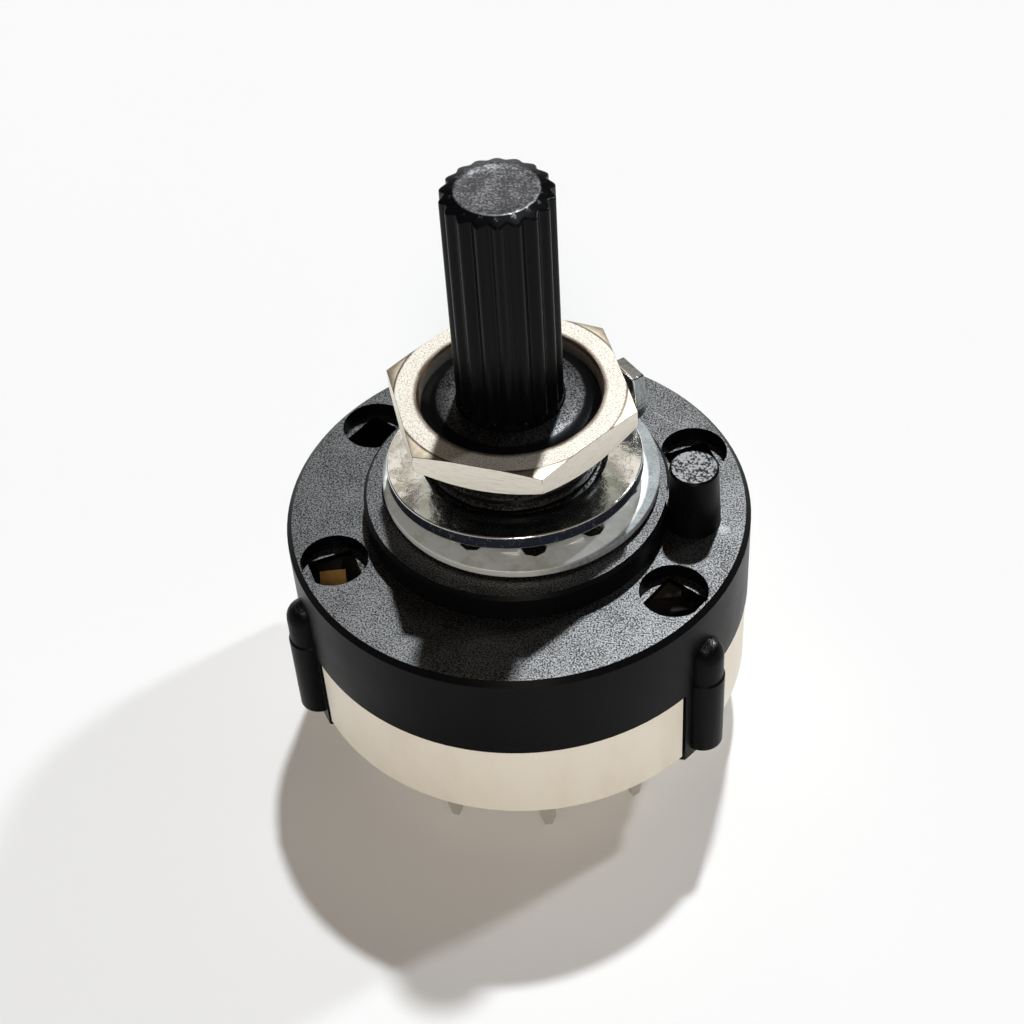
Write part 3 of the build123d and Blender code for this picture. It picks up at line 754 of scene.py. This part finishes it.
def shaftPiece():
    size = shaftSize
    bottom, top, bevelFrom = size["bottom"], size["top"], size["bevelFrom"]
    points, faces = mergedNode("shaft")
    turn = polar(points)[1]
    above = points[:, 2] > bottom - nearBy
    faces = faces[~above[faces].all(axis=1)]
    used = np.zeros(len(points), bool)
    used[faces] = True
    rim = np.flatnonzero(used & above)
    # radius of a flute at an angle: root + depth * ((1 + cos(count * angle)) / 2) to a power,
    # cut back by the bevel's radius, which falls evenly with the height
    columns = size["count"] * size["columnsPerFlute"]
    angles = np.linspace(-math.pi, math.pi, columns, endpoint=False)
    ridge = (0.5 + 0.5 * np.cos(size["count"] * angles)) ** size["ridgePower"]
    flute = size["root"] + (size["radius"] - size["root"]) * ridge
    lead = bevelFrom - size["bevelLead"]
    body = np.linspace(bottom + size["footGap"], lead, size["bodyRows"])
    bevel = np.linspace(lead, top, size["bevelRows"] + 1)[1:]
    heights = np.concatenate((body, bevel))
    slope = (size["radius"] - size["faceRadius"]) / (top - bevelFrom)
    cut = size["radius"] + 2 * size["rounding"] - slope * (heights - bevelFrom)
    radius = softLess(flute[None, :], cut[:, None], size["rounding"])
    wall = roundGrid(radius, angles, heights[:, None])
    # end face: rings that shrink to the axis, sunk a little towards the middle
    share = np.linspace(1.0, 0.0, size["faceRows"] + 1)[1:-1, None]
    sunk = top - size["dish"] * smoothStep((1.0 - share) / size["dishShare"])
    face = roundGrid(share * radius[-1], angles, sunk)
    middle = np.array([[0.0, 0.0, top - size["dish"]]])
    grid = np.concatenate((wall, face))
    start = len(points)
    rows = len(heights) + len(share)
    firstRow = start + np.arange(columns)
    lastRow = firstRow + (rows - 1) * columns
    hub = np.full(columns, start + len(grid))
    allFaces = faces.tolist()
    allFaces += ringGrid(start, rows, columns).tolist()
    allFaces += zipRings(rim, turn[rim], firstRow, angles).tolist()
    allFaces += np.stack((lastRow, np.roll(lastRow, -1), hub), axis=-1).tolist()
    every = np.vstack((points, grid, middle))
    sharpAngle = size["sharpAngle"]
    makePiece("shaftFluted", every, allFaces, shaft, "rotor", "shaft", sharpAngle)


# pieces that keep the CAD shape, flat faces joined and edges rounded by a small bevel:
# node, finish, body, slot and the bevel's width
roundedSize = {
    "baseCup": ("base", base, "housing", "base_plastic", 0.10 * mm),
    "nutHex": ("hex_nut", nut, "nut", "nut_plating", 0.07 * mm),
    "lockRing": ("lock_washer", lockZinc, "housing", "washer_zinc", 0.05 * mm),
    "tabRing": ("tab_washer", tabZinc, "housing", "washer_zinc", 0.08 * mm),
}


def roundedPiece(name):
    node, finish, body, slotName, width = roundedSize[name]
    points, faces = mergedNode(node)
    piece = makePiece(name, points, faces.tolist(), finish, body, node)
    work = bmesh.new()
    work.from_mesh(piece.data)
    flat = math.radians(edgeSize["flatUnder"])
    bmesh.ops.dissolve_limit(work, angle_limit=flat, verts=work.verts, edges=work.edges)
    work.to_mesh(piece.data)
    work.free()
    bevel = piece.modifiers.new("edges", "BEVEL")
    bevel.width = width
    bevel.segments = edgeSize["segments"]
    bevel.limit_method = "ANGLE"
    bevel.angle_limit = math.radians(edgeSize["sharpFrom"])
    even = piece.modifiers.new("even", "WEIGHTED_NORMAL")
    even.keep_sharp = True


coverPiece()
shaftPiece()
for name in roundedSize:
    roundedPiece(name)
print("pieces:", len(roundedSize) + 2)

# CAD nodes that stay as they are
nodeFinish = {"common_terminal": brass, "wiper": bronze, "detent_spring": springWire}
nodeFinish.update({"contact_carrier": carrier, "detent_plunger": plunger})
nodeFinish.update({name: brass for name in nodes if name.startswith("terminal_")})
for name, finish in nodeFinish.items():
    nodes[name].data.materials.clear()
    nodes[name].data.materials.append(finish.material)
print("dressed nodes:", len(nodeFinish))


# floor, light and camera
stageLook = {
    "floorShine": {"Roughness": 0.9, "Specular IOR Level": 0.1},
    "floor": tint(0.88, 0.88, 0.875),
    "floorShade": tint(0.86, 0.86, 0.855),
    "floorCloud": (60 * mm, 2.0, 0.5),
    "floorSize": 40.0,
    "coolLamp": (0.925, 0.962, 1.0),
    "warmLamp": (1.0, 0.90, 0.81),
    "skyTint": tint(1.0, 0.89, 0.79),
    "horizonTint": tint(1.0, 0.99, 0.98),
    "skyHorizon": 0.95,
    "horizonBand": (0.16, 0.06),  # heights on the sky are sines of the elevation
    "skyFront": 0.40,
    "skyTop": 0.07,
    "frontToTop": (0.45, 0.80),
    "skyBack": 0.02,
    "backFrom": (0.05, 0.25),
    "backTo": (0.98, 0.88),
    "backTurn": (-0.20, 0.20),
    "skyWindow": 1.0,
    "windowFrom": (103.0, 32.7),
    "windowEdge": (0.988, 0.995),
}
# each lamp: azimuth and elevation it shines from, strength, width in degrees, colour
lamps = {
    "keyLight": (85.7, 61.2, 2.41, 2.5, "coolLamp"),
    "sideLight": (42.0, 35.0, 1.05, 4.0, "coolLamp"),
    "fillLight": (-78.0, 46.0, 0.73, 14.0, "warmLamp"),
}


def lampAim(azimuth, elevation):
    a, e = math.radians(azimuth), math.radians(elevation)
    return Vector((math.cos(e) * math.cos(a), math.cos(e) * math.sin(a), math.sin(e)))


def makeFloor():
    look = stageLook
    finish = Finish("floorPaper", look["floorShine"])
    cloud = finish.noise(*look["floorCloud"])
    finish.link("Base Color", finish.mix(cloud, look["floor"], look["floorShade"]))
    half = look["floorSize"] / 2
    low = cadBox[0][2]
    corners = [(-half, -half, low), (half, -half, low), (half, half, low), (-half, half, low)]
    mesh = bpy.data.meshes.new("floor")
    mesh.from_pydata(corners, [], [(0, 1, 2, 3)])
    mesh.materials.append(finish.material)
    floor = bpy.data.objects.new("floor", mesh)
    bpy.context.scene.collection.objects.link(floor)


def makeLamps():
    for name, (azimuth, elevation, strength, width, colour) in lamps.items():
        lamp = bpy.data.lights.new(name, "SUN")
        lamp.energy = strength
        lamp.color = stageLook[colour]
        lamp.angle = math.radians(width)
        placed = bpy.data.objects.new(name, lamp)
        placed.rotation_euler = lampAim(azimuth, elevation).to_track_quat("Z", "Y").to_euler()
        bpy.context.scene.collection.objects.link(placed)


def makeSky():
    # a white band round the horizon, greyer above it and overhead, dark high up behind the part,
    # and there one bright window
    look = stageLook
    world = bpy.data.worlds.new("studio")
    world.use_nodes = True
    bpy.context.scene.world = world
    sky = Finish("sky", {}, world.node_tree)
    up = sky.axis("Z", "Generated")
    behind = sky.axis("Y", "Generated")
    strength = between(sky.ramp(up, *look["frontToTop"]), look["skyFront"], look["skyTop"])
    dark = sky.ramp(up, *look["backFrom"]) * sky.ramp(up, *look["backTo"])
    dark = dark * sky.ramp(behind, *look["backTurn"])
    strength = between(dark, strength, look["skyBack"])
    horizon = sky.ramp(up, *look["horizonBand"])
    strength = between(horizon, strength, look["skyHorizon"])
    toWindow = sky.vector("DOT_PRODUCT", sky.place("Generated"), lampAim(*look["windowFrom"]))
    strength = strength + sky.ramp(toWindow, *look["windowEdge"]) * look["skyWindow"]
    colour = sky.mix(horizon, look["skyTint"], look["horizonTint"])
    background = world.node_tree.nodes["Background"]
    sky.tree.links.new(colour.socket, background.inputs["Color"])
    sky.tree.links.new(strength.socket, background.inputs["Strength"])


cameraPlace = {
    "eye": (16.88 * mm, -79.43 * mm, 81.6 * mm),
    "right": (0.9854, 0.1624, -0.0489),
    "up": (-0.0835, 0.7154, 0.6937),
    "lens": 70.31,
    "sensor": 36.0,
    "near": 1 * mm,
    "far": 100.0,
}


def makeCamera():
    look = cameraPlace
    right = Vector(look["right"]).normalized()
    back = right.cross(Vector(look["up"])).normalized()
    up = back.cross(right)
    lens = bpy.data.cameras.new("camera")
    lens.lens = look["lens"]
    lens.sensor_width = look["sensor"]
    lens.clip_start = look["near"]
    lens.clip_end = look["far"]
    camera = bpy.data.objects.new("camera", lens)
    turn = Matrix((right, up, back)).transposed().to_4x4()
    camera.matrix_world = Matrix.Translation(look["eye"]) @ turn
    bpy.context.scene.collection.objects.link(camera)
    bpy.context.scene.camera = camera


makeFloor()
makeLamps()
makeSky()
makeCamera()
bpy.context.scene.view_settings.view_transform = "Standard"
print("stage set")
